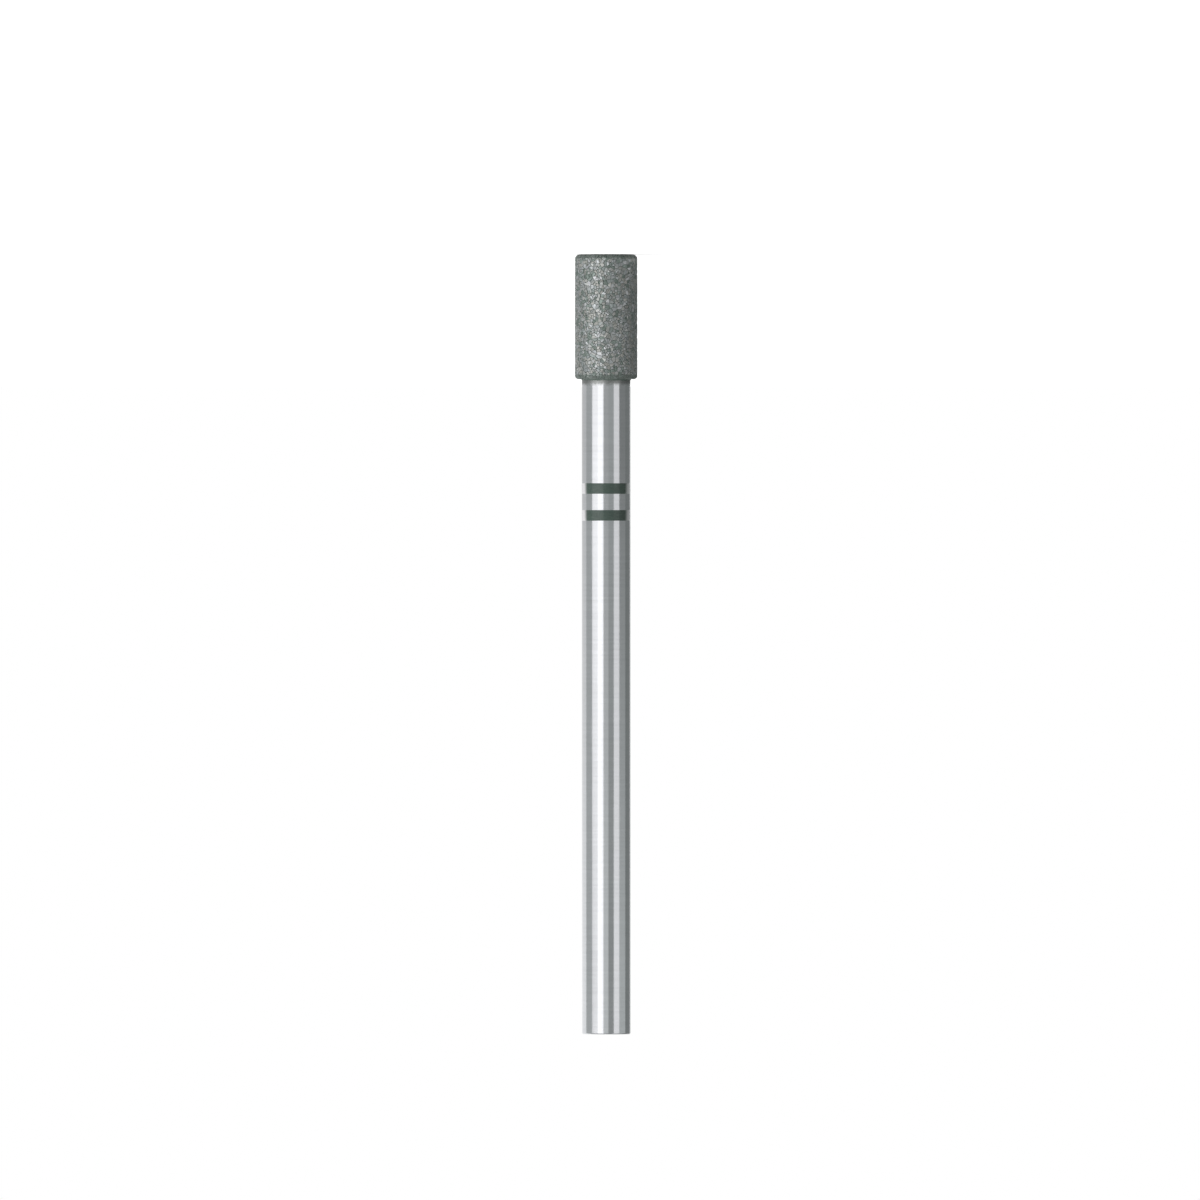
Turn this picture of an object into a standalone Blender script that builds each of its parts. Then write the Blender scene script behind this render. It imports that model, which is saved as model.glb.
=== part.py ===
"""Laboratory bur with a cylindrical grinding head on a straight handpiece shank.

The head is a sleeve of bonded grit, formed round a keyed spigot that is turned on the end of a
plain round steel shank. Two enamel rings fill shallow grooves in the shank and mark its grade.

The bur stands on the flat end of its head. The origin is the centre of that end, and +Z runs up
the axis to the free end of the shank. Sizes are in metres.
"""

import math

import bpy

# Shank
SHANK_DIAMETER = 0.00235
SHANK_LENGTH = 0.0317
SHANK_END_CHAMFER = 0.00007
SHOULDER_CHAMFER = 0.00003

# Grinding head
HEAD_DIAMETER = 0.00303
HEAD_LENGTH = 0.00605
HEAD_END_ROUND = 0.00022
HEAD_BASE_ROUND = 0.00014
HEAD_END_WALL = 0.00125

# Spigot inside the head, with the ring grooves that key the grit to it
SPIGOT_DIAMETER = 0.0016
SPIGOT_ROOT_FILLET = 0.0001
SPIGOT_TIP_ROUND = 0.00012
KEY_COUNT = 3
KEY_WIDTH = 0.00055
KEY_DEPTH = 0.00012

# Marking rings, measured from the base of the head
MARK_SETBACK = 0.00503
MARK_PITCH = 0.0013
MARK_WIDTH = 0.00051
MARK_DEPTH = 0.00005
ENAMEL_SINK = 0.000006

# Clearances between pieces that touch on the real bur
SEAT_GAP = 0.00001
ENAMEL_GAP = 0.000004

# Resolution
TURN_STEPS = 64
ARC_STEPS = 4
SHARP_ANGLE = math.radians(32)
MERGE_DISTANCE = 1e-7

SHOULDER_Z = HEAD_LENGTH + SEAT_GAP
SHANK_END_Z = SHOULDER_Z + SHANK_LENGTH
SHANK_RADIUS = SHANK_DIAMETER / 2

STEEL = {"colour": (0.56, 0.57, 0.58), "roughness": 0.22, "metallic": 1.0}
GRIT = {"colour": (0.2, 0.205, 0.2), "roughness": 0.85, "metallic": 0.0}
ENAMEL = {"colour": (0.05, 0.07, 0.055), "roughness": 0.2, "metallic": 0.0}


def clear_scene():
    for obj in list(bpy.data.objects):
        bpy.data.objects.remove(obj, do_unlink=True)


def make_collection(name):
    collection = bpy.data.collections.new(name)
    bpy.context.scene.collection.children.link(collection)
    return collection


def make_material(name, colour, roughness, metallic):
    material = bpy.data.materials.new(name)
    material.use_nodes = True
    shader = material.node_tree.nodes["Principled BSDF"]
    shader.inputs["Base Color"].default_value = (*colour, 1.0)
    shader.inputs["Roughness"].default_value = roughness
    shader.inputs["Metallic"].default_value = metallic
    material.diffuse_color = (*colour, 1.0)
    return material


def arc(centre, radius, start, end):
    """Points on an arc of the profile, from one angle to another in degrees.

    Angles are measured at the centre, a (radius, height) pair. 0 points away from the axis
    and 90 points up.
    """
    points = []
    for step in range(ARC_STEPS + 1):
        angle = math.radians(start + (end - start) * step / ARC_STEPS)
        points.append((centre[0] + radius * math.cos(angle), centre[1] + radius * math.sin(angle)))
    return points


def groove(radius, middle, width, depth):
    """A ring groove with 45 degree flanks, from its upper edge down to its lower one."""
    half = width / 2
    return [
        (radius, middle + half),
        (radius - depth, middle + half - depth),
        (radius - depth, middle - half + depth),
        (radius, middle - half),
    ]


def mark_heights():
    """Middle of each marking groove, the one furthest from the head first."""
    nearest = SHOULDER_Z + MARK_SETBACK + MARK_WIDTH / 2
    return [nearest + MARK_PITCH, nearest]


def spigot_side(grow):
    """Profile of the spigot, from its root fillet down to the middle of its tip.

    At grow = 0 it is the spigot itself. At grow = SEAT_GAP every face has moved out by that
    gap, which gives the bore that the spigot sits in.
    """
    radius = SPIGOT_DIAMETER / 2
    tip = HEAD_END_WALL + SEAT_GAP
    fillet = SPIGOT_ROOT_FILLET
    tip_round = SPIGOT_TIP_ROUND
    points = arc((radius + fillet, SHOULDER_Z - fillet), fillet - grow, 90, 180)
    pitch = (SHOULDER_Z - tip) / (KEY_COUNT + 1)
    for key in range(KEY_COUNT):
        middle = SHOULDER_Z - pitch * (key + 1)
        points += groove(radius + grow, middle, KEY_WIDTH, KEY_DEPTH)
    points += arc((radius - tip_round, tip + tip_round), tip_round + grow, 0, -90)
    points.append((0.0, tip - grow))
    return points


def shank_outline():
    outline = [
        (0.0, SHANK_END_Z),
        (SHANK_RADIUS - SHANK_END_CHAMFER, SHANK_END_Z),
        (SHANK_RADIUS, SHANK_END_Z - SHANK_END_CHAMFER),
    ]
    for middle in mark_heights():
        outline += groove(SHANK_RADIUS, middle, MARK_WIDTH, MARK_DEPTH)
    outline += [
        (SHANK_RADIUS, SHOULDER_Z + SHOULDER_CHAMFER),
        (SHANK_RADIUS - SHOULDER_CHAMFER, SHOULDER_Z),
    ]
    return outline + spigot_side(0.0)


def head_outline():
    """From the floor of the bore up to its mouth, over the base, and down the outside."""
    radius = HEAD_DIAMETER / 2
    base = (radius - HEAD_BASE_ROUND, HEAD_LENGTH - HEAD_BASE_ROUND)
    end = (radius - HEAD_END_ROUND, HEAD_END_ROUND)
    outline = list(reversed(spigot_side(SEAT_GAP)))
    outline += arc(base, HEAD_BASE_ROUND, 90, 0)
    outline += arc(end, HEAD_END_ROUND, 0, -90)
    outline.append((0.0, 0.0))
    return outline


def ring_outline(middle):
    """Section of the enamel in one groove, a gap away from the floor and both flanks."""
    top = SHANK_RADIUS - ENAMEL_SINK
    floor = SHANK_RADIUS - MARK_DEPTH + ENAMEL_GAP
    half = MARK_WIDTH / 2 - ENAMEL_GAP * math.sqrt(2)
    half_top = half - (SHANK_RADIUS - top)
    half_floor = half - (SHANK_RADIUS - floor)
    return [
        (top, middle + half_top),
        (top, middle - half_top),
        (floor, middle - half_floor),
        (floor, middle + half_floor),
    ]


def turn(name, outline, material, collection, closed=False):
    """Turns a profile of (radius, height) points once round the Z axis.

    The profile runs down its outer side. A closed one is joined end to end, as for a ring.
    """
    edges = [(i, i + 1) for i in range(len(outline) - 1)]
    if closed:
        edges.append((len(outline) - 1, 0))
    profile = bpy.data.meshes.new(name + "_profile")
    profile.from_pydata([(radius, 0.0, height) for radius, height in outline], edges, [])
    obj = bpy.data.objects.new(name, profile)
    collection.objects.link(obj)

    screw = obj.modifiers.new("turn", "SCREW")
    screw.axis = "Z"
    screw.angle = 2 * math.pi
    screw.steps = TURN_STEPS
    screw.render_steps = TURN_STEPS
    screw.use_merge_vertices = True
    screw.merge_threshold = MERGE_DISTANCE

    graph = bpy.context.evaluated_depsgraph_get()
    mesh = bpy.data.meshes.new_from_object(obj.evaluated_get(graph))
    mesh.name = name
    mesh.shade_smooth()
    mesh.set_sharp_from_angle(angle=SHARP_ANGLE)
    mesh.materials.clear()
    mesh.materials.append(material)
    obj.modifiers.clear()
    obj.data = mesh
    bpy.data.meshes.remove(profile)
    return obj


def main():
    clear_scene()
    bur = make_collection("laboratory_bur")
    steel = make_material("shank_steel", **STEEL)
    grit = make_material("bonded_grit", **GRIT)
    enamel = make_material("ring_enamel", **ENAMEL)

    turn("shank", shank_outline(), steel, bur)
    turn("grinding_head", head_outline(), grit, bur)
    outer, inner = mark_heights()
    turn("marking_ring_near_head", ring_outline(inner), enamel, bur, closed=True)
    turn("marking_ring_far", ring_outline(outer), enamel, bur, closed=True)


main()
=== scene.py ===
"""Laboratory bur with a cylindrical grinding head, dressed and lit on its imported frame.

The bur stands on the flat end of its head, with the shank upright. Sizes are in metres.
"""

import math

import bpy
import numpy as np
from bpy.props import FloatProperty, FloatVectorProperty, IntProperty, PointerProperty
from bpy.types import Operator, Panel, PropertyGroup
from mathutils import Matrix, Vector
from mathutils.geometry import delaunay_2d_cdt
from mathutils.kdtree import KDTree


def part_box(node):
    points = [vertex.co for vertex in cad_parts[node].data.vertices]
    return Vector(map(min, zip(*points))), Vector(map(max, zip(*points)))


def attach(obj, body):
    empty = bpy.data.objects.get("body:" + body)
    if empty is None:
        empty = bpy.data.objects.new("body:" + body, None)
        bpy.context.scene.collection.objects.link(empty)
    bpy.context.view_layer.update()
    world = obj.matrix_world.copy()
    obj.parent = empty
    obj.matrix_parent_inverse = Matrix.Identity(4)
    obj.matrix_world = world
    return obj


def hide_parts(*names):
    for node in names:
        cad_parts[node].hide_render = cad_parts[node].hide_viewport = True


bl_info = {
    "name": "Laboratory bur",
    "version": (1, 0, 0),
    "blender": (4, 5, 0),
    "location": "3D View > Sidebar > Bur",
    "description": "Turns, forms and lights a bur with a cylindrical grinding head",
    "category": "Object",
}

MM = 0.001
MICRON = 0.001 * MM

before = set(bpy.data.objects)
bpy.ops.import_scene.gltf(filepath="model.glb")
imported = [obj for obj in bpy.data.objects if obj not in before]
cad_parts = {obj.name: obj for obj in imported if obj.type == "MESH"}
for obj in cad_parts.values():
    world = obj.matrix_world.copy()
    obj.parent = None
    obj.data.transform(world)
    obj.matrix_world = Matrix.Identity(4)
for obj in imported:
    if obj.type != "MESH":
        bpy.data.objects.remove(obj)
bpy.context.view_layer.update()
SHANK_LOW, SHANK_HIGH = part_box("shank")
HEAD_LOW, HEAD_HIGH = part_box("grinding_head")
NEAR_LOW, NEAR_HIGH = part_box("marking_ring_near_head")
FAR_LOW, FAR_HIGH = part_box("marking_ring_far")

# Places that the frame gives
HEAD_DIAMETER = HEAD_HIGH.x - HEAD_LOW.x
HEAD_BASE = HEAD_HIGH.z
SHANK_DIAMETER = SHANK_HIGH.x - SHANK_LOW.x
SHANK_END = SHANK_HIGH.z
SPIGOT_TIP = SHANK_LOW.z
MARKS = ((FAR_LOW.z + FAR_HIGH.z) / 2, (NEAR_LOW.z + NEAR_HIGH.z) / 2)

# Spigot inside the head and marking grooves, the same as the frame's
SEAT_GAP = 0.01 * MM
SHOULDER = HEAD_BASE + SEAT_GAP
SPIGOT_DIAMETER = 1.6 * MM
SPIGOT_ROUND = 0.12 * MM
KEY_COUNT = 3
KEY_WIDTH = 0.55 * MM
KEY_DEPTH = 0.12 * MM
MARK_WIDTH = 0.51 * MM
MARK_DEPTH = 0.05 * MM

# Meshes. Distances under the first two count as none, and a mesh is creased where it turns by
# more than its own angle, in degrees
ON_AXIS = 1e-9
SAME_PLACE = 1e-8
SHANK_SHARP = 32
GRAIN_SHARP = 14
RING_SHARP = 40
SKIN_STEP = 0.005 * MM
CORE_STEPS = 192

# Bond that climbs the shank: its gap, the height of its lip in fillets, where its arc runs in
# degrees, and how uneven it is
BOND_GAP = 0.002 * MM
LIP_HEIGHT = 0.75
LIP_ARC = (188, 262)
CREEP = 0.13
CREEP_WAVES = (2, 5, 9, 17, 31)

# Layout of the grains: how many are tried on one grain's square, and in grain sizes how near
# two may be, where they start, and where a border of closer places runs that ends their cells
GRAIN_SEED = 41
GRAIN_TRIES = 1.45
GRAIN_GAP = 0.5
GRAIN_START = 0.4
BORDER_START = 0.1
BORDER_GAP = 0.5

# Form of a grain. Depths and rises are shares of the relief, slopes are in bevels, and a smear
# is the share of bond on top
SLOPE_LEAST = 0.3
SLOPE_SPREAD = 1.5
SLOPE_POWER = 1.5
TOP_SHARE = (0.45, 0.95)
TOP_DEPTH = 0.6
TOP_POWER = 0.7
TOP_SMEAR = 0.3
TORN_SHARE = 0.06
TORN_DEPTH = 0.8
TORN_SMEAR = 0.6
GRAIN_TILT = 0.25
GRAIN_DEEPEST = 0.85
PEAK_SHIFT = 0.4
PEAK_RISE = 0.35
VALLEY_RISE = 0.35

# Shape of the enamel rings. They fill a share of their groove's depth
RING_STEPS = 256
RING_ACROSS = 9
RING_LIFT = 0.0015 * MM
RING_FILL = 0.9
RING_WAVES = (2, 5, 13)
CROWN_POWER = 4

# Noise lies round its centre, and most of it in its middle range
NOISE_CENTRE = 0.5
NOISE_MIDDLE = (0.3, 0.7)

# Finish of the steel. Scales are in waves a metre, along X, Y and Z. What happens at an edge is
# full as far from it as FULL says, and gone at FADE
GRIND_SCALE = (500.0, 500.0, 9000.0)
GRIND_DARK = 0.91
GRIND_ROUGH = 0.04
WAVE_SCALE = (300.0, 300.0, 120.0)
BLOTCH_SCALE = (1400.0, 1400.0, 500.0)
BLOTCH_ROUGH = (0.1, 0.15)
FACED_FADE = 0.02 * MM
FACED_FULL = 0.005 * MM
FACED_SCALE = 40000.0
FACED_ROUGH = 0.14
# Painted shade next to the head: there the steel's colour is darkened over a ragged band, and it is
# rougher
HEAD_SHADE_FULL = 0.16 * MM
HEAD_SHADE_FADE = 0.31 * MM
HEAD_SHADE_SCALE = (9000.0, 9000.0, 3000.0)
HEAD_SHADE_RAGGED = 0.25 * MM
HEAD_SHADE_SHARE = 0.85
DULLED_ROUGH = 0.3
STEEL_RELIEF = 0.3 * MICRON
GRIND_RELIEF = 2.5
WAVE_RELIEF = 4.0
FACED_RELIEF = 3.0

# Finish of the grit. Both edges of the head are darkened towards the bond's colour and made less
# metallic, a painted shade
SPECK_SCALE = (26000.0, 26000.0, 26000.0)
SPECK_TONE = 0.3
SPECK_RELIEF = 4 * MICRON
EDGE_SHADE_FULL = 0.17 * MM
EDGE_SHADE_FADE = 0.28 * MM
EDGE_SHADE_SHARE = 0.78
BOND_COVER = 0.7
GRAIN_METAL = (0.42, 0.66)
GRAIN_ROUGH = (0.57, 0.43)

# Colours of the grains, from the dullest tone to the brightest
GRAIN_COLOURS = (
    (0.0, (0.24, 0.293, 0.264)),
    (0.22, (0.315, 0.343, 0.348)),
    (0.42, (0.357, 0.358, 0.33)),
    (0.6, (0.352, 0.376, 0.39)),
    (0.76, (0.4, 0.402, 0.374)),
    (0.9, (0.41, 0.438, 0.446)),
    (1.0, (0.5, 0.51, 0.52)),
)

# Finish of the enamel, and of the glaze that shows where the ring turns away to either side
CLOUD_SCALE = (4000.0, 4000.0, 9000.0)
CLOUD_LIGHT = 1.35
ENAMEL_ROUGH = (0.2, 0.32)
ENAMEL_RELIEF = 1 * MICRON
GLAZE_START = 0.42
GLAZE_FULL = 0.6
GLAZE_LIFT = 0.45

# Camera, and how wide the picture is at the bur and where its middle lies
LENS_MM = 1000.0
SENSOR_MM = 36.0
CLIP = (0.01, 10.0)
PICTURE_WIDTH = 58.11 * MM
PICTURE_X = 0.3 * MM
PICTURE_Z = 16.74 * MM

# Light tent. Its panels change in brightness from TENT_LOW to TENT_HIGH, and in tint with the
# two levels of brightness. A panel has a corner every few degrees
TENT_RADIUS = 28 * MM
TENT_HEIGHT = 75 * MM
TENT_LOW = 8.4 * MM
TENT_HIGH = 36.5 * MM
APRON_RADIUS = 4 * MM
APRON_LIFT = 0.05 * MM
PANEL_STEP = 4
ROOF_STEPS = 32
ROOF_GLOW = 0.4
TINT_LEVELS = (0.25, 1.1)
DIM_TINT = (0.955, 1.0, 0.99)
BRIGHT_TINT = (1.022, 1.0, 1.015)

# Panels of the light tent: name, from and to in degrees from the camera's side, and how
# bright each is low down and high up
PANELS = (
    ("back_left", -180.0, -108.2, 0.71, 1.13),
    ("grey_left", -108.2, -68.9, 0.53, 0.55),
    ("key_edge", -68.9, -39.8, 1.36, 1.02),
    ("key", -39.8, -13.2, 1.62, 1.6),
    ("front_left", -13.2, 10.3, 0.52, 0.76),
    ("front_right", 10.3, 35.8, 0.47, 0.39),
    ("fill", 35.8, 63.9, 0.98, 1.11),
    ("grey_right", 63.9, 101.6, 0.29, 0.61),
    ("dark_right", 101.6, 150.0, 0.25, 0.28),
    ("rim_right", 150.0, 162.0, 0.9, 0.9),
    ("dark_back", 162.0, 180.0, 0.3, 0.3),
)

# Lamp on the head. Its angles are in degrees, from the camera's side and up from the floor
KEY_SIDE = -45.0
KEY_UP = 14.0
KEY_DISTANCE = 0.3
KEY_WIDE = 0.2
KEY_TALL = 0.14

# Floor and background. The shadow fades from this share of its reach
SHADOW_START = 0.4
PALE = (0.9, 0.9, 0.9, 1.0)
WHITE = (1.0, 1.0, 1.0, 1.0)


# Materials


class Value:
    """One output of a material's nodes. Arithmetic on it adds Math nodes."""

    def __init__(self, finish, socket):
        self.finish = finish
        self.socket = socket

    def math(self, operation, first, second):
        inputs = {0: first, 1: second}
        return self.finish.node("ShaderNodeMath", {"operation": operation}, inputs)

    def __add__(self, other):
        return self.math("ADD", self, other)

    def __radd__(self, other):
        return self.math("ADD", other, self)

    def __sub__(self, other):
        return self.math("SUBTRACT", self, other)

    def __rsub__(self, other):
        return self.math("SUBTRACT", other, self)

    def __mul__(self, other):
        return self.math("MULTIPLY", self, other)

    def __rmul__(self, other):
        return self.math("MULTIPLY", other, self)

    def most(self, other):
        return self.math("MAXIMUM", self, other)


class Finish:
    """The nodes of one material or of the world."""

    def __init__(self, tree):
        self.tree = tree
        tree.nodes.clear()

    def node(self, kind, settings=None, inputs=None, output=0):
        """Adds a node, sets it, fills its sockets and gives back one of its outputs."""
        node = self.tree.nodes.new(kind)
        for name, value in (settings or {}).items():
            if name == "stops":
                self.set_stops(node.color_ramp, value)
            else:
                setattr(node, name, value)
        for name, value in (inputs or {}).items():
            if isinstance(value, Value):
                self.tree.links.new(value.socket, node.inputs[name])
            else:
                node.inputs[name].default_value = value
        return Value(self, node.outputs[output]) if node.outputs else None

    def set_stops(self, ramp, stops):
        while len(ramp.elements) < len(stops):
            ramp.elements.new(1.0)
        for element, (place, colour) in zip(ramp.elements, stops):
            element.position = place
            element.color = (*colour, 1.0)

    def blend(self, share, first, second):
        """Colour between two others."""
        inputs = {0: share, 6: first, 7: second}
        return self.node("ShaderNodeMix", {"data_type": "RGBA"}, inputs, output=2)

    def place(self):
        """Where a point is on the piece, in metres."""
        return self.node("ShaderNodeTexCoord", output="Object")

    def height(self):
        return self.node("ShaderNodeSeparateXYZ", None, {0: self.place()}, output="Z")

    def vector(self, operation, first, second=(0.0, 0.0, 0.0), output="Vector"):
        """One step of vector arithmetic. A length comes from the output called Value."""
        settings = {"operation": operation}
        return self.node("ShaderNodeVectorMath", settings, {0: first, 1: second}, output)

    def stretched(self, scale):
        """The place with each axis multiplied, to stretch what is drawn from it."""
        return self.vector("MULTIPLY", self.place(), scale)

    def noise(self, scale, detail=2.0, rough=0.5):
        inputs = {"Vector": self.stretched(scale), "Scale": 1.0, "Detail": detail}
        inputs["Roughness"] = rough
        return self.node("ShaderNodeTexNoise", None, inputs)

    def rings(self, scale, detail=2.0):
        """Noise in rings round the axis, as a facing tool leaves."""
        away = self.vector("LENGTH", self.stretched((1.0, 1.0, 0.0)), output="Value")
        inputs = {"W": away * scale, "Scale": 1.0, "Detail": detail}
        return self.node("ShaderNodeTexNoise", {"noise_dimensions": "1D"}, inputs)

    def between(self, value, low, high, to_low=0.0, to_high=1.0):
        """Maps a value from one range to another, and holds it at both ends."""
        inputs = {"Value": value, "From Min": low, "From Max": high}
        inputs.update({"To Min": to_low, "To Max": to_high})
        return self.node("ShaderNodeMapRange", None, inputs)

    def spread(self, noise, low=0.0, high=1.0):
        """Noise spread over another range."""
        return self.between(noise, *NOISE_MIDDLE, low, high)

    def swing(self, noise, size):
        """Noise that goes to either side of zero."""
        return (noise - NOISE_CENTRE) * size

    def relief(self, height, distance, strength=1.0):
        inputs = {"Height": height, "Distance": distance, "Strength": strength}
        return self.node("ShaderNodeBump", None, inputs)

    def seen_directly(self):
        """1 where the camera sees a point itself or in metal or glass."""
        kind = "ShaderNodeLightPath"
        camera = self.node(kind, output="Is Camera Ray")
        glossy = self.node(kind, output="Is Glossy Ray")
        through = self.node(kind, output="Is Transmission Ray")
        return camera.most(glossy).most(through)


def new_finish(name):
    material = bpy.data.materials.new(name)
    material.use_nodes = True
    return material, Finish(material.node_tree)


def cover(finish, shader):
    """Makes a shader the surface of its material."""
    finish.node("ShaderNodeOutputMaterial", None, {"Surface": shader})


def ground_steel(settings):
    """Ground stainless steel, with fine grinding lines round the shank.

    The free end is faced off. Next to the head the steel is rougher, and its colour is darkened with
    painted shade.
    """
    material, finish = new_finish("shank_steel")
    up = finish.height()
    lines = finish.noise(GRIND_SCALE, detail=4.0, rough=0.75)
    wave = finish.noise(WAVE_SCALE, detail=1.0)
    blotch = finish.noise(BLOTCH_SCALE, detail=3.0)
    faced = finish.between(up, SHANK_END - FACED_FADE, SHANK_END - FACED_FULL)
    marks = finish.rings(FACED_SCALE) * faced
    ragged = up + finish.swing(finish.noise(HEAD_SHADE_SCALE, detail=3.0, rough=0.6), HEAD_SHADE_RAGGED)
    # Painted shade: the steel's colour darkens towards the head, and its roughness rises there
    dulled_and_shaded = finish.between(ragged, SHOULDER + HEAD_SHADE_FULL, SHOULDER + HEAD_SHADE_FADE, 1.0, 0.0)
    dark = tuple(part * GRIND_DARK for part in settings.colour)
    steel = finish.blend(finish.spread(lines), (*dark, 1.0), (*settings.colour, 1.0))
    rough = finish.spread(blotch, *BLOTCH_ROUGH) + finish.swing(lines, GRIND_ROUGH)
    relief = lines * GRIND_RELIEF + wave * WAVE_RELIEF + marks * FACED_RELIEF
    inputs = {
        "Metallic": 1.0,
        "Base Color": finish.blend(dulled_and_shaded * HEAD_SHADE_SHARE, steel, (*settings.dulled_and_shaded, 1.0)),
        "Roughness": rough + dulled_and_shaded * DULLED_ROUGH + faced * FACED_ROUGH,
        "Normal": finish.relief(relief, STEEL_RELIEF),
    }
    cover(finish, finish.node("ShaderNodeBsdfPrincipled", None, inputs))
    return material


def bonded_grit(settings):
    """Grains of abrasive in a dark bond. Each grain carries its own tone."""
    material, finish = new_finish("bonded_grit")
    tone = finish.node("ShaderNodeAttribute", {"attribute_name": "tone"}, output="Fac")
    depth = finish.node("ShaderNodeAttribute", {"attribute_name": "depth"}, output="Fac")
    speck = finish.noise(SPECK_SCALE, detail=2.0, rough=0.7)
    mixed = tone + finish.swing(speck, SPECK_TONE)
    grains = finish.node("ShaderNodeValToRGB", {"stops": GRAIN_COLOURS}, {0: mixed})
    up = finish.height()
    # Painted shade: along both edges of the head the grains blend towards the bond's colour and lose
    # metal. In the valleys the bond is real
    base = finish.between(up, HEAD_BASE - EDGE_SHADE_FADE, HEAD_BASE - EDGE_SHADE_FULL)
    edges = base.most(1.0 - finish.between(up, EDGE_SHADE_FULL, EDGE_SHADE_FADE))
    shade = depth.most(edges * EDGE_SHADE_SHARE)
    inputs = {
        "Base Color": finish.blend(shade, grains, (*settings.bond, 1.0)),
        "Metallic": finish.between(mixed, 0.0, 1.0, *GRAIN_METAL) * (1.0 - shade * BOND_COVER),
        "Roughness": finish.between(mixed, 0.0, 1.0, *GRAIN_ROUGH),
        "Normal": finish.relief(speck, SPECK_RELIEF, strength=0.6),
    }
    cover(finish, finish.node("ShaderNodeBsdfPrincipled", None, inputs))
    return material


def ring_enamel(settings):
    """Dark glossy enamel, slightly uneven, that mirrors its surroundings at both sides."""
    material, finish = new_finish("ring_enamel")
    cloud = finish.noise(CLOUD_SCALE, detail=3.0)
    light = tuple(part * CLOUD_LIGHT for part in settings.colour)
    inputs = {
        "Base Color": finish.blend(cloud, (*settings.colour, 1.0), (*light, 1.0)),
        "Roughness": finish.spread(cloud, *ENAMEL_ROUGH),
        "Specular IOR Level": 0.2,
        "Coat Weight": 0.25,
        "Coat Roughness": 0.06,
        "Normal": finish.relief(cloud, ENAMEL_RELIEF),
    }
    enamel = finish.node("ShaderNodeBsdfPrincipled", None, inputs)
    sheen = {"Base Color": (*settings.glaze, 1.0), "Metallic": 1.0, "Roughness": 0.12}
    glaze = finish.node("ShaderNodeBsdfPrincipled", None, sheen)
    normal = finish.node("ShaderNodeNewGeometry", output="Normal")
    lifted = finish.vector("NORMALIZE", finish.vector("ADD", normal, (0.0, 0.0, GLAZE_LIFT)))
    weight = {"Blend": 0.5, "Normal": lifted}
    facing = finish.node("ShaderNodeLayerWeight", None, weight, output="Facing")
    share = finish.between(facing, GLAZE_START, GLAZE_FULL)
    cover(finish, finish.node("ShaderNodeMixShader", None, {0: share, 1: enamel, 2: glaze}))
    return material


# Shapes


def arc(centre, radius, start, end, count=6):
    """Points on an arc of a profile, from one angle to another in degrees."""
    angles = np.radians(np.linspace(start, end, count + 1))
    return [(centre[0] + radius * math.cos(a), centre[1] + radius * math.sin(a)) for a in angles]


def groove(radius, middle, width, depth):
    """A ring groove with 45 degree flanks, from its upper edge down to its lower one."""
    half = width / 2
    return [
        (radius, middle + half),
        (radius - depth, middle + half - depth),
        (radius - depth, middle - half + depth),
        (radius, middle - half),
    ]


def spigot_side(grow):
    """The spigot's profile down to the middle of its tip, or at SEAT_GAP the bore round it."""
    radius = SPIGOT_DIAMETER / 2
    points = [(radius + grow, SHOULDER - grow)]
    pitch = (SHOULDER - SPIGOT_TIP) / (KEY_COUNT + 1)
    for key in range(KEY_COUNT):
        points += groove(radius + grow, SHOULDER - pitch * (key + 1), KEY_WIDTH, KEY_DEPTH)
    tip = (radius - SPIGOT_ROUND, SPIGOT_TIP + SPIGOT_ROUND)
    return points + arc(tip, SPIGOT_ROUND + grow, 0, -90) + [(0.0, SPIGOT_TIP - grow)]


def turned(outline, steps):
    """Corners and faces of a profile turned once round Z. It runs down its outer side."""
    points, faces, rings = [], [], []
    turn = 2 * math.pi / steps
    circle = [(math.cos(turn * i), math.sin(turn * i)) for i in range(steps)]
    for radius, height in outline:
        start = len(points)
        if radius < ON_AXIS:
            points.append((0.0, 0.0, height))
            rings.append([start] * steps)
        else:
            points += [(radius * x, radius * y, height) for x, y in circle]
            rings.append(list(range(start, start + steps)))
    for upper, lower in zip(rings, rings[1:]):
        for i in range(steps):
            j = (i + 1) % steps
            faces.append(list(dict.fromkeys([upper[i], lower[i], lower[j], upper[j]])))
    return points, faces


def make_mesh(name, points, faces, sharp):
    """A mesh that is smooth up to an angle in degrees."""
    mesh = bpy.data.meshes.new(name)
    mesh.from_pydata(points, [], faces)
    mesh.shade_smooth()
    mesh.set_sharp_from_angle(angle=math.radians(sharp))
    return mesh


def add_piece(name, mesh, material, node):
    """Puts a finished mesh in the scene in place of a node of the frame."""
    mesh.materials.append(material)
    piece = bpy.data.objects.new(name, mesh)
    bpy.context.scene.collection.objects.link(piece)
    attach(piece, "root")
    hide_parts(node)


def shank_outline(settings):
    """The shank from the middle of its free end down to its shoulder, then the spigot."""
    radius = SHANK_DIAMETER / 2
    end, edge = settings.end_round, settings.edge_round
    outline = [(0.0, SHANK_END), (radius / 2, SHANK_END)]
    outline += arc((radius - end, SHANK_END - end), end, 90, 0, count=8)
    for middle in MARKS:
        outline += groove(radius, middle, settings.mark_width, settings.mark_depth)
    outline += arc((radius - edge, SHOULDER + edge), edge, 0, -90, count=4)
    return outline + spigot_side(0.0)


def head_core(settings):
    """The bore from its floor to its mouth, then the smooth bond that climbs the shank."""
    shank, fillet = SHANK_DIAMETER / 2 + BOND_GAP, settings.fillet
    outline = list(reversed(spigot_side(SEAT_GAP)))
    outline += [(shank, HEAD_BASE), (shank, HEAD_BASE + fillet * LIP_HEIGHT)]
    outline += arc((shank + fillet, HEAD_BASE + fillet), fillet, *LIP_ARC)
    return outline + [(shank + fillet, HEAD_BASE - settings.relief)]


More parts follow.
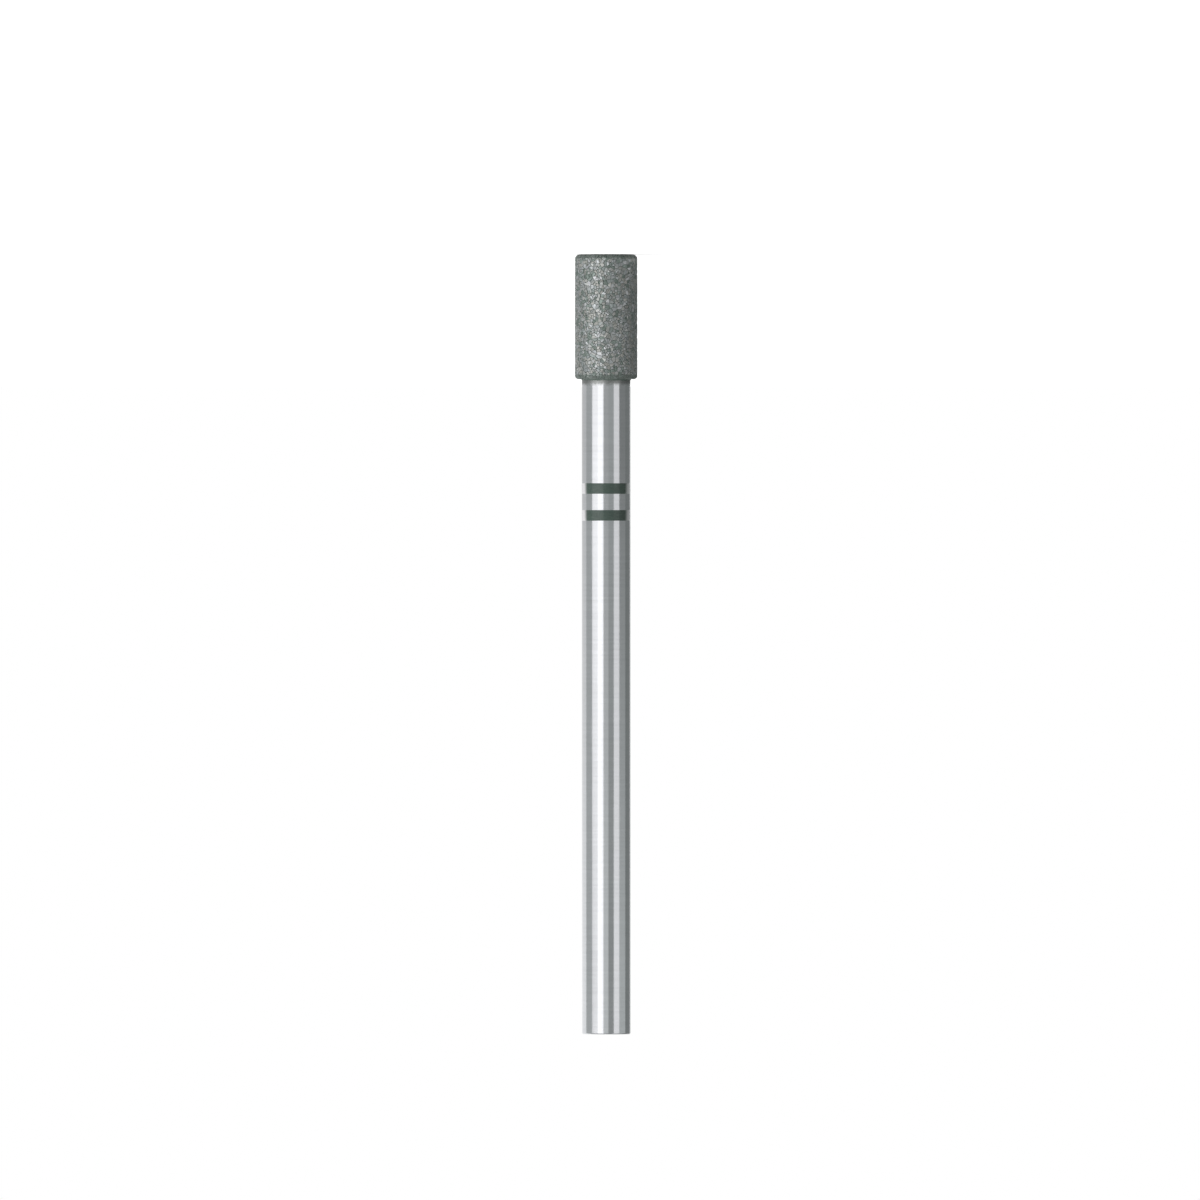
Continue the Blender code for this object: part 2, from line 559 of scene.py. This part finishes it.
def creep(points, random):
    """Makes the bond that climbs the shank uneven, as it dries."""
    counts = np.array(CREEP_WAVES)
    phases = random.random(len(counts)) * 2 * math.pi
    for index, (x, y, z) in enumerate(points):
        if z > HEAD_BASE:
            swell = 1 + CREEP * np.sin(math.atan2(y, x) * counts + phases).sum()
            points[index] = (x, y, HEAD_BASE + (z - HEAD_BASE) * swell)


def head_outline(settings):
    """The outer side of the head, from the foot of that bond to the middle of the flat end."""
    radius = HEAD_DIAMETER / 2
    base, end = settings.base_round, settings.end_round
    outline = [(SHANK_DIAMETER / 2 + settings.fillet, HEAD_BASE)]
    outline += arc((radius - base, HEAD_BASE - base), base, 90, 0, count=8)
    outline += arc((radius - end, end), end, 0, -90, count=10)
    return outline + [(0.0, 0.0)]


def resample(outline, step):
    """Points along a profile, a step apart."""
    outline = np.array(outline)
    lengths = np.linalg.norm(np.diff(outline, axis=0), axis=1)
    along = np.concatenate([[0.0], np.cumsum(lengths)])
    places = np.linspace(0.0, along[-1], round(along[-1] / step) + 1)
    return np.stack([np.interp(places, along, column) for column in outline.T], axis=1)


class Skin:
    """The head's outer side, laid out flat so that small shapes on it keep their form.

    A place in the layout is a complex number. Its angle is the angle round the axis, and its
    size falls from 1 at the start of the profile towards 0 at the middle of the end.
    """

    def __init__(self, outline):
        self.profile = resample(outline, SKIN_STEP)
        along = np.gradient(self.profile, axis=0)
        self.normals = np.stack([-along[:, 1], along[:, 0]], axis=1)
        self.normals /= np.linalg.norm(self.normals, axis=1)[:, None]
        lengths = np.linalg.norm(np.diff(self.profile, axis=0), axis=1)
        radii = (self.profile[1:, 0] + self.profile[:-1, 0]) / 2
        self.areas = lengths * radii * 2 * math.pi
        self.sink = np.concatenate([[0.0], np.cumsum(lengths / radii)])

    def scatter(self, count, random):
        """Places that are spread evenly over the skin."""
        piece = random.choice(len(self.areas), size=count, p=self.areas / self.areas.sum())
        share = random.random(count)
        sink = self.sink[piece] * (1 - share) + self.sink[piece + 1] * share
        return np.exp(-sink + 2j * math.pi * random.random(count))

    def belt(self, along, spacing):
        """Places in one even ring, so far along the profile."""
        row = int(along / SKIN_STEP)
        count = int(2 * math.pi * self.profile[row, 0] / spacing)
        return np.exp(-self.sink[row] + 2j * math.pi * np.arange(count) / count)

    def points(self, places, depths):
        """Where places are on the head, each so far below its skin."""
        sink = -np.log(np.abs(places))
        columns = (*self.profile.T, *self.normals.T)
        radius, height, out, up = (np.interp(sink, self.sink, column) for column in columns)
        around = places / np.abs(places) * (radius - out * depths)
        return np.stack([around.real, around.imag, height - up * depths], axis=1)


def thin_out(points, gap):
    """Says which points to keep, so that none is nearer than gap to one kept before it."""
    tree = KDTree(len(points))
    for index, point in enumerate(points):
        tree.insert(point, index)
    tree.balance()
    kept = np.zeros(len(points), bool)
    for index, point in enumerate(points):
        kept[index] = not any(kept[other] for _, other, _ in tree.find_range(point, gap))
    return kept


def cells(places, count):
    """The corners between places, and for each of the first few the ring of its own corners."""
    flat = [Vector((place.real, place.imag)) for place in places]
    _, _, triangles, source, _, _ = delaunay_2d_cdt(flat, [], [], 0, SAME_PLACE, True)
    triangles = np.array([[source[corner][0] for corner in triangle] for triangle in triangles])
    a, b, c = places[triangles].T
    b, c = b - a, c - a
    corners = a + 1j * (b * abs(c) ** 2 - c * abs(b) ** 2) / (2 * (b.conj() * c).imag)
    rings = [[] for _ in places]
    for index, triangle in enumerate(triangles):
        for place in triangle:
            rings[place].append(index)
    for place, ring in zip(places[:count], rings):
        ring.sort(key=lambda index: np.angle(corners[index] - place))
    return corners, rings[:count]


def open_edge(rings):
    """The loop of corners along the outside of all the rings together."""
    steps = {step for ring in rings for step in zip(ring, ring[1:] + ring[:1])}
    follow = {a: b for a, b in steps if (b, a) not in steps}
    loop = [min(follow)]
    while follow[loop[-1]] != loop[0]:
        loop.append(follow[loop[-1]])
    return loop


def bridge(points, inner, outer):
    """Faces between two loops round the axis, which may differ in number. They face up."""
    turns = []
    for loop in (inner, outer):
        angles = [math.atan2(points[i][1], points[i][0]) for i in loop]
        first = angles.index(min(angles))
        loop[:] = loop[first:] + loop[:first]
        angles = np.unwrap(angles[first:] + angles[:first])
        turns.append([*angles, angles[0] + 2 * math.pi])
    faces, i, o = [], 0, 0
    while i < len(inner) or o < len(outer):
        near, far = inner[i % len(inner)], outer[o % len(outer)]
        if o == len(outer) or (i < len(inner) and turns[0][i + 1] <= turns[1][o + 1]):
            i += 1
            faces.append((near, far, inner[i % len(inner)]))
        else:
            o += 1
            faces.append((near, far, outer[o % len(outer)]))
    return faces


class Grit:
    """The head as it is built: corners with a tone and a depth each, and faces."""

    def __init__(self, skin, settings, random):
        self.skin = skin
        self.relief, self.bevel = settings.relief, settings.bevel
        self.points, self.faces = turned(head_core(settings), CORE_STEPS)
        creep(self.points, random)
        self.tones, self.depths = [0.0] * len(self.points), [1.0] * len(self.points)

    def add(self, places, depths, tone, shade):
        """Adds corners below the skin and gives back their numbers."""
        first = len(self.points)
        self.points += self.skin.points(places, depths).tolist()
        self.tones += [tone] * len(places)
        self.depths += [shade] * len(places)
        return list(range(first, len(self.points)))

    def grain(self, place, corners, valley, random):
        """One grain: a tilted, faceted top inside its ring of valley corners.

        A torn one leaves a low stump, smeared with bond.
        """
        spots = self.skin.points(np.array([place, *corners]), np.zeros(len(corners) + 1))
        offsets = spots[1:] - spots[0]
        slopes = SLOPE_LEAST + SLOPE_SPREAD * random.random(len(corners)) ** SLOPE_POWER
        share = 1 - self.bevel * slopes / np.linalg.norm(offsets, axis=1)
        share = np.clip(share, *TOP_SHARE)
        torn = random.random() < TORN_SHARE
        level = TORN_DEPTH if torn else TOP_DEPTH * (1 - random.random() ** TOP_POWER)
        tilt = random.normal(0.0, GRAIN_TILT, 3)
        depths = level * self.relief + (offsets * share[:, None]) @ tilt
        depths = np.clip(depths, 0.0, self.relief * GRAIN_DEEPEST)
        tone = 0.0 if torn else random.random()
        smear = TORN_SMEAR if torn else TOP_SMEAR * random.random()
        top = self.add(place + (corners - place) * share, depths, tone, smear)
        peak = place + (corners[0] - place) * random.random() * PEAK_SHIFT
        crest = max(depths.mean() - random.random() * PEAK_RISE * self.relief, 0.0)
        middle, = self.add(np.array([peak]), np.array([crest]), tone, smear * torn)
        for k in range(len(valley)):
            m = (k + 1) % len(valley)
            self.faces.append((valley[m], valley[k], top[k], top[m]))
            self.faces.append((top[m], top[k], middle))


def form_head(settings):
    """A sleeve of bonded grit. Each grain is a cell of its own, with bond in the valleys."""
    random = np.random.default_rng(GRAIN_SEED)
    skin = Skin(head_outline(settings))
    size = settings.grain
    places = skin.scatter(int(skin.areas.sum() / size**2 * GRAIN_TRIES), random)
    places = places[np.abs(places) < abs(skin.belt(size * GRAIN_START, size)[0])]
    places = places[thin_out(skin.points(places, np.zeros(len(places))), size * GRAIN_GAP)]
    border = skin.belt(size * BORDER_START, size * BORDER_GAP)
    corners, rings = cells(np.concatenate([places, border]), len(places))
    grit = Grit(skin, settings, random)
    foot = list(range(len(grit.points) - CORE_STEPS, len(grit.points)))
    used = sorted({corner for ring in rings for corner in ring})
    depths = settings.relief * (1 - VALLEY_RISE * random.random(len(used)))
    valley = dict(zip(used, grit.add(corners[used], depths, 0.0, 1.0)))
    for place, ring in zip(places, rings):
        grit.grain(place, corners[ring], [valley[corner] for corner in ring], random)
    outer = [valley[corner] for corner in open_edge(rings)]
    grit.faces += bridge(grit.points, foot, outer)
    mesh = make_mesh("grinding_head_grit", grit.points, grit.faces, GRAIN_SHARP)
    for name, values in (("tone", grit.tones), ("depth", grit.depths)):
        layer = mesh.attributes.new(name, "FLOAT", "POINT")
        layer.data.foreach_set("value", values)
    return mesh


def ring_section(middle, top, low, settings):
    """Section of a ring: down its crowned outer side, then up the floor of the groove."""
    radius, depth = SHANK_DIAMETER / 2, settings.mark_depth
    section = []
    for share in np.linspace(0.0, 1.0, RING_ACROSS):
        crown = RING_LIFT + settings.crown * (1 - (2 * share - 1) ** CROWN_POWER)
        section.append((radius + crown, middle + top - (top + low) * share))
    floor, half = radius - depth * RING_FILL, settings.mark_width / 2 - depth
    return section + [(floor, middle - half), (floor, middle + half)]


def ring_mesh(name, middle, settings):
    """One enamel ring: a shallow crown between wavy edges, closed behind."""
    random = np.random.default_rng(round(middle / MICRON))
    phases = random.random((2, len(RING_WAVES))) * 2 * math.pi
    points, faces = [], []
    for i in range(RING_STEPS):
        angle = 2 * math.pi * i / RING_STEPS
        edges = []
        for side in phases:
            wave = sum(math.sin(angle * k + p) / k for k, p in zip(RING_WAVES, side))
            edges.append(settings.mark_width / 2 + wave * settings.edge_wave)
        section = ring_section(middle, *edges, settings)
        points += [(r * math.cos(angle), r * math.sin(angle), z) for r, z in section]
    size = len(section)
    for i in range(RING_STEPS):
        a, b = i * size, (i + 1) % RING_STEPS * size
        for k in range(size):
            m = (k + 1) % size
            faces.append((a + k, a + m, b + m, b + k))
    return make_mesh(name, points, faces, RING_SHARP)


# Light and camera


def panel_mesh(name, start, end):
    """An upright curved panel of the light tent, with an apron of the same width on the floor.

    Angles are from the camera's side.
    """
    section = ((APRON_RADIUS, APRON_LIFT), (TENT_RADIUS, APRON_LIFT), (TENT_RADIUS, TENT_HEIGHT))
    steps = max(2, int((end - start) / PANEL_STEP))
    points, faces = [], []
    for i in range(steps + 1):
        angle = math.radians(start + (end - start) * i / steps)
        x, y = -math.sin(angle), -math.cos(angle)
        points += [(x * radius, y * radius, z) for radius, z in section]
    for i in range(steps):
        for k in range(len(section) - 1):
            a = i * len(section) + k
            b = a + len(section)
            faces.append((a, b, b + 1, a + 1))
    mesh = bpy.data.meshes.new(name)
    mesh.from_pydata(points, [], faces)
    return mesh


def roof_mesh(name):
    """The round lid of the light tent."""
    rim = []
    for i in range(ROOF_STEPS):
        angle = 2 * math.pi / ROOF_STEPS * i
        rim.append((TENT_RADIUS * math.cos(angle), TENT_RADIUS * math.sin(angle), TENT_HEIGHT))
    mesh = bpy.data.meshes.new(name)
    mesh.from_pydata(rim, [], [tuple(range(ROOF_STEPS))])
    return mesh


def panel_glow(name, low, high, strength):
    """Light from a panel, which changes with height. Dim panels are greener than bright ones."""
    material, finish = new_finish(name)
    glow = finish.between(finish.height(), TENT_LOW, TENT_HIGH, low * strength, high * strength)
    share = np.interp((low + high) / 2, TINT_LEVELS, (0.0, 1.0))
    tint = Vector(DIM_TINT).lerp(Vector(BRIGHT_TINT), share)
    light = {"Color": finish.vector("MULTIPLY", glow, tint)}
    cover(finish, finish.node("ShaderNodeEmission", None, light))
    return material


def add_panel(name, mesh, low, high, settings):
    """Puts up one panel, which shows only where something mirrors it."""
    mesh.materials.append(panel_glow("glow_" + name, low, high, settings.panels))
    panel = bpy.data.objects.new("panel_" + name, mesh)
    bpy.context.scene.collection.objects.link(panel)
    panel.visible_camera = panel.visible_diffuse = panel.visible_shadow = False


def add_tent(settings):
    for name, start, end, low, high in PANELS:
        add_panel(name, panel_mesh("panel_" + name, start, end), low, high, settings)
    add_panel("roof", roof_mesh("panel_roof"), ROOF_GLOW, ROOF_GLOW, settings)


def add_key(settings):
    """A large soft lamp on the head's lit side, low over the floor.

    Its power makes a white surface that faces it as bright as the setting says.
    """
    data = bpy.data.lights.new("key", "AREA")
    data.shape = "RECTANGLE"
    data.size, data.size_y = KEY_WIDE, KEY_TALL
    data.energy = settings.key * math.pi**2 * KEY_DISTANCE**2
    key = bpy.data.objects.new("key", data)
    bpy.context.scene.collection.objects.link(key)
    side, up = math.radians(KEY_SIDE), math.radians(KEY_UP)
    back = Vector((-math.sin(side) * math.cos(up), -math.cos(side) * math.cos(up), math.sin(up)))
    key.location = Vector((0, 0, HEAD_BASE / 2)) + back * KEY_DISTANCE
    key.rotation_euler = back.to_track_quat("Z", "Y").to_euler()
    key.visible_camera = False


def floor_paint(settings):
    """Pale floor that reads as white and keeps the shadow close to the bur."""
    material, finish = new_finish("floor_paint")
    away = finish.vector("LENGTH", finish.place(), output="Value")
    reach = settings.shadow_reach
    glow = finish.between(away, reach * SHADOW_START, reach, settings.floor_near, 1.0)
    white = finish.node("ShaderNodeEmission", None, {"Color": glow})
    pale = finish.node("ShaderNodeBsdfDiffuse", None, {"Color": PALE})
    both = finish.node("ShaderNodeAddShader", None, {0: white, 1: pale})
    bounce = {"Color": (*settings.floor_colour, 1.0)}
    plain = finish.node("ShaderNodeBsdfDiffuse", None, bounce)
    inputs = {0: finish.seen_directly(), 1: plain, 2: both}
    cover(finish, finish.node("ShaderNodeMixShader", None, inputs))
    return material


def add_floor(settings):
    half = settings.floor_size / 2
    mesh = bpy.data.meshes.new("floor")
    corners = [(-half, -half, 0), (half, -half, 0), (half, half, 0), (-half, half, 0)]
    mesh.from_pydata(corners, [], [(0, 1, 2, 3)])
    mesh.materials.append(floor_paint(settings))
    floor = bpy.data.objects.new("floor", mesh)
    bpy.context.scene.collection.objects.link(floor)


def light_world(settings):
    """White where it is seen, and a dimmer white as light."""
    world = bpy.data.worlds.new("studio")
    bpy.context.scene.world = world
    world.use_nodes = True
    finish = Finish(world.node_tree)
    white = finish.node("ShaderNodeBackground", None, {"Color": WHITE, "Strength": 1.0})
    dim = finish.node("ShaderNodeBackground", None, {"Color": WHITE, "Strength": settings.ambient})
    inputs = {0: finish.seen_directly(), 1: dim, 2: white}
    shader = finish.node("ShaderNodeMixShader", None, inputs)
    finish.node("ShaderNodeOutputWorld", None, {"Surface": shader})


def add_camera():
    """The photograph shows the head uppermost, so the camera is rolled half a turn.

    The picture's right is -X and its top is -Z. The camera looks along +Y.
    """
    data = bpy.data.cameras.new("camera")
    data.lens = LENS_MM
    data.sensor_width = SENSOR_MM
    data.clip_start, data.clip_end = CLIP
    camera = bpy.data.objects.new("camera", data)
    bpy.context.scene.collection.objects.link(camera)
    place = (PICTURE_X, -LENS_MM / SENSOR_MM * PICTURE_WIDTH, PICTURE_Z)
    aim = Matrix(((-1, 0, 0), (0, 0, -1), (0, -1, 0)))
    camera.matrix_world = Matrix.Translation(place) @ aim.to_4x4()
    bpy.context.scene.camera = camera


# Settings


class ShankSettings(PropertyGroup):
    """Sizes and colours of the steel shank"""

    end_round: FloatProperty(
        name="End round", description="Rounding of the free end", default=0.07 * MM, unit="LENGTH"
    )
    edge_round: FloatProperty(
        name="Edge round", description="Rounding of the shoulder", default=0.03 * MM, unit="LENGTH"
    )
    mark_width: FloatProperty(
        name="Groove width", description="Width of a marking groove", default=MARK_WIDTH, unit="LENGTH"
    )
    mark_depth: FloatProperty(
        name="Groove depth", description="Depth of a marking groove", default=MARK_DEPTH, unit="LENGTH"
    )
    steps: IntProperty(name="Steps", description="Faces round the shank", default=256, min=24)
    colour: FloatVectorProperty(
        name="Steel", description="Colour of the steel", default=(0.61, 0.63, 0.642), subtype="COLOR"
    )
    # Painted shade: the darker colour that the steel takes next to the head
    dulled_and_shaded: FloatVectorProperty(
        name="Dulled",
        description="Colour of the steel next to the head",
        default=(0.19, 0.2, 0.19),
        subtype="COLOR",
    )


class HeadSettings(PropertyGroup):
    """Sizes and colour of the grinding head"""

    end_round: FloatProperty(
        name="End round", description="Rounding of the flat end", default=0.22 * MM, unit="LENGTH"
    )
    base_round: FloatProperty(
        name="Base round", description="Rounding next to the shank", default=0.17 * MM, unit="LENGTH"
    )
    fillet: FloatProperty(
        name="Fillet", description="Bond that runs up the shank", default=0.065 * MM, unit="LENGTH"
    )
    grain: FloatProperty(name="Grain", description="Size of a grain", default=0.138 * MM, unit="LENGTH")
    relief: FloatProperty(
        name="Relief", description="Depth between the grains", default=0.036 * MM, unit="LENGTH"
    )
    bevel: FloatProperty(
        name="Bevel", description="Width of the slope round a grain", default=0.016 * MM, unit="LENGTH"
    )
    bond: FloatVectorProperty(
        name="Bond",
        description="Colour between the grains",
        default=(0.122, 0.158, 0.137),
        subtype="COLOR",
    )


class RingSettings(PropertyGroup):
    """Sizes and colours of the two enamel rings"""

    mark_width: FloatProperty(
        name="Width", description="Width of a ring", default=MARK_WIDTH, unit="LENGTH"
    )
    mark_depth: FloatProperty(
        name="Depth", description="Depth of the groove that it fills", default=MARK_DEPTH, unit="LENGTH"
    )
    crown: FloatProperty(
        name="Crown", description="Rise of the middle", default=0.006 * MM, unit="LENGTH"
    )
    edge_wave: FloatProperty(
        name="Edge wave", description="Unevenness of the edges", default=0.004 * MM, unit="LENGTH"
    )
    colour: FloatVectorProperty(
        name="Enamel", description="Colour of the enamel", default=(0.076, 0.11, 0.093), subtype="COLOR"
    )
    glaze: FloatVectorProperty(
        name="Glaze",
        description="Colour of the glaze seen edge on",
        default=(0.96, 0.96, 0.97),
        subtype="COLOR",
    )


class StageSettings(PropertyGroup):
    """Light, floor and background"""

    panels: FloatProperty(name="Panels", description="Strength of the light tent", default=1.0)
    key: FloatProperty(name="Key", description="Light of the lamp on the head", default=0.5)
    ambient: FloatProperty(name="Ambient", description="Light from all round", default=0.35)
    floor_size: FloatProperty(
        name="Floor size", description="Side of the floor", default=2.0, unit="LENGTH"
    )
    floor_near: FloatProperty(name="Near floor", description="Glow near the bur", default=0.61)
    shadow_reach: FloatProperty(
        name="Shadow reach", description="How far the shadow shows", default=7 * MM, unit="LENGTH"
    )
    floor_colour: FloatVectorProperty(
        name="Floor colour",
        description="Colour that the floor sends back",
        default=(0.5, 0.5, 0.5),
        subtype="COLOR",
    )


# Operators


class BUR_OT_shank(Operator):
    """Turn the steel shank"""

    bl_idname = "bur.shank"
    bl_label = "Shank"

    def execute(self, context):
        settings = context.scene.bur_shank
        points, faces = turned(shank_outline(settings), settings.steps)
        mesh = make_mesh("shank_steel", points, faces, SHANK_SHARP)
        add_piece("shank_turned", mesh, ground_steel(settings), "shank")
        return {"FINISHED"}


class BUR_OT_head(Operator):
    """Form the grinding head from its grains"""

    bl_idname = "bur.head"
    bl_label = "Grinding head"

    def execute(self, context):
        settings = context.scene.bur_head
        mesh = form_head(settings)
        add_piece("head_grit", mesh, bonded_grit(settings), "grinding_head")
        return {"FINISHED"}


class BUR_OT_rings(Operator):
    """Fill the two marking grooves with enamel"""

    bl_idname = "bur.rings"
    bl_label = "Marking rings"

    def execute(self, context):
        settings = context.scene.bur_rings
        enamel = ring_enamel(settings)
        for name, middle in zip(("marking_ring_far", "marking_ring_near_head"), MARKS):
            mesh = ring_mesh(name + "_enamel", middle, settings)
            add_piece(name + "_enamel", mesh, enamel, name)
        return {"FINISHED"}


class BUR_OT_stage(Operator):
    """Set up the floor, the light and the camera"""

    bl_idname = "bur.stage"
    bl_label = "Stage"

    def execute(self, context):
        settings = context.scene.bur_stage
        light_world(settings)
        add_floor(settings)
        add_tent(settings)
        add_key(settings)
        add_camera()
        context.scene.view_settings.view_transform = "Standard"
        return {"FINISHED"}


class BUR_PT_sidebar(Panel):
    """The bur's pieces and stage"""

    bl_label = "Laboratory bur"
    bl_space_type = "VIEW_3D"
    bl_region_type = "UI"
    bl_category = "Bur"

    def draw(self, context):
        for name, _, operator in PARTS:
            box = self.layout.box()
            box.operator(operator.bl_idname)
            group = getattr(context.scene, name)
            for setting in group.__annotations__:
                box.prop(group, setting)


# Each part's settings, by their name in the scene and by their class, and its operator
PARTS = (
    ("bur_shank", ShankSettings, BUR_OT_shank),
    ("bur_head", HeadSettings, BUR_OT_head),
    ("bur_rings", RingSettings, BUR_OT_rings),
    ("bur_stage", StageSettings, BUR_OT_stage),
)
CLASSES = (*[item for part in PARTS for item in part[1:]], BUR_PT_sidebar)


def register():
    for item in CLASSES:
        bpy.utils.register_class(item)
    for name, group, _ in PARTS:
        setattr(bpy.types.Scene, name, PointerProperty(type=group))


def unregister():
    for name, _, _ in PARTS:
        delattr(bpy.types.Scene, name)
    for item in reversed(CLASSES):
        bpy.utils.unregister_class(item)


def main():
    register()
    bpy.ops.bur.shank()
    bpy.ops.bur.head()
    bpy.ops.bur.rings()
    bpy.ops.bur.stage()


if __name__ == "__main__":
    main()
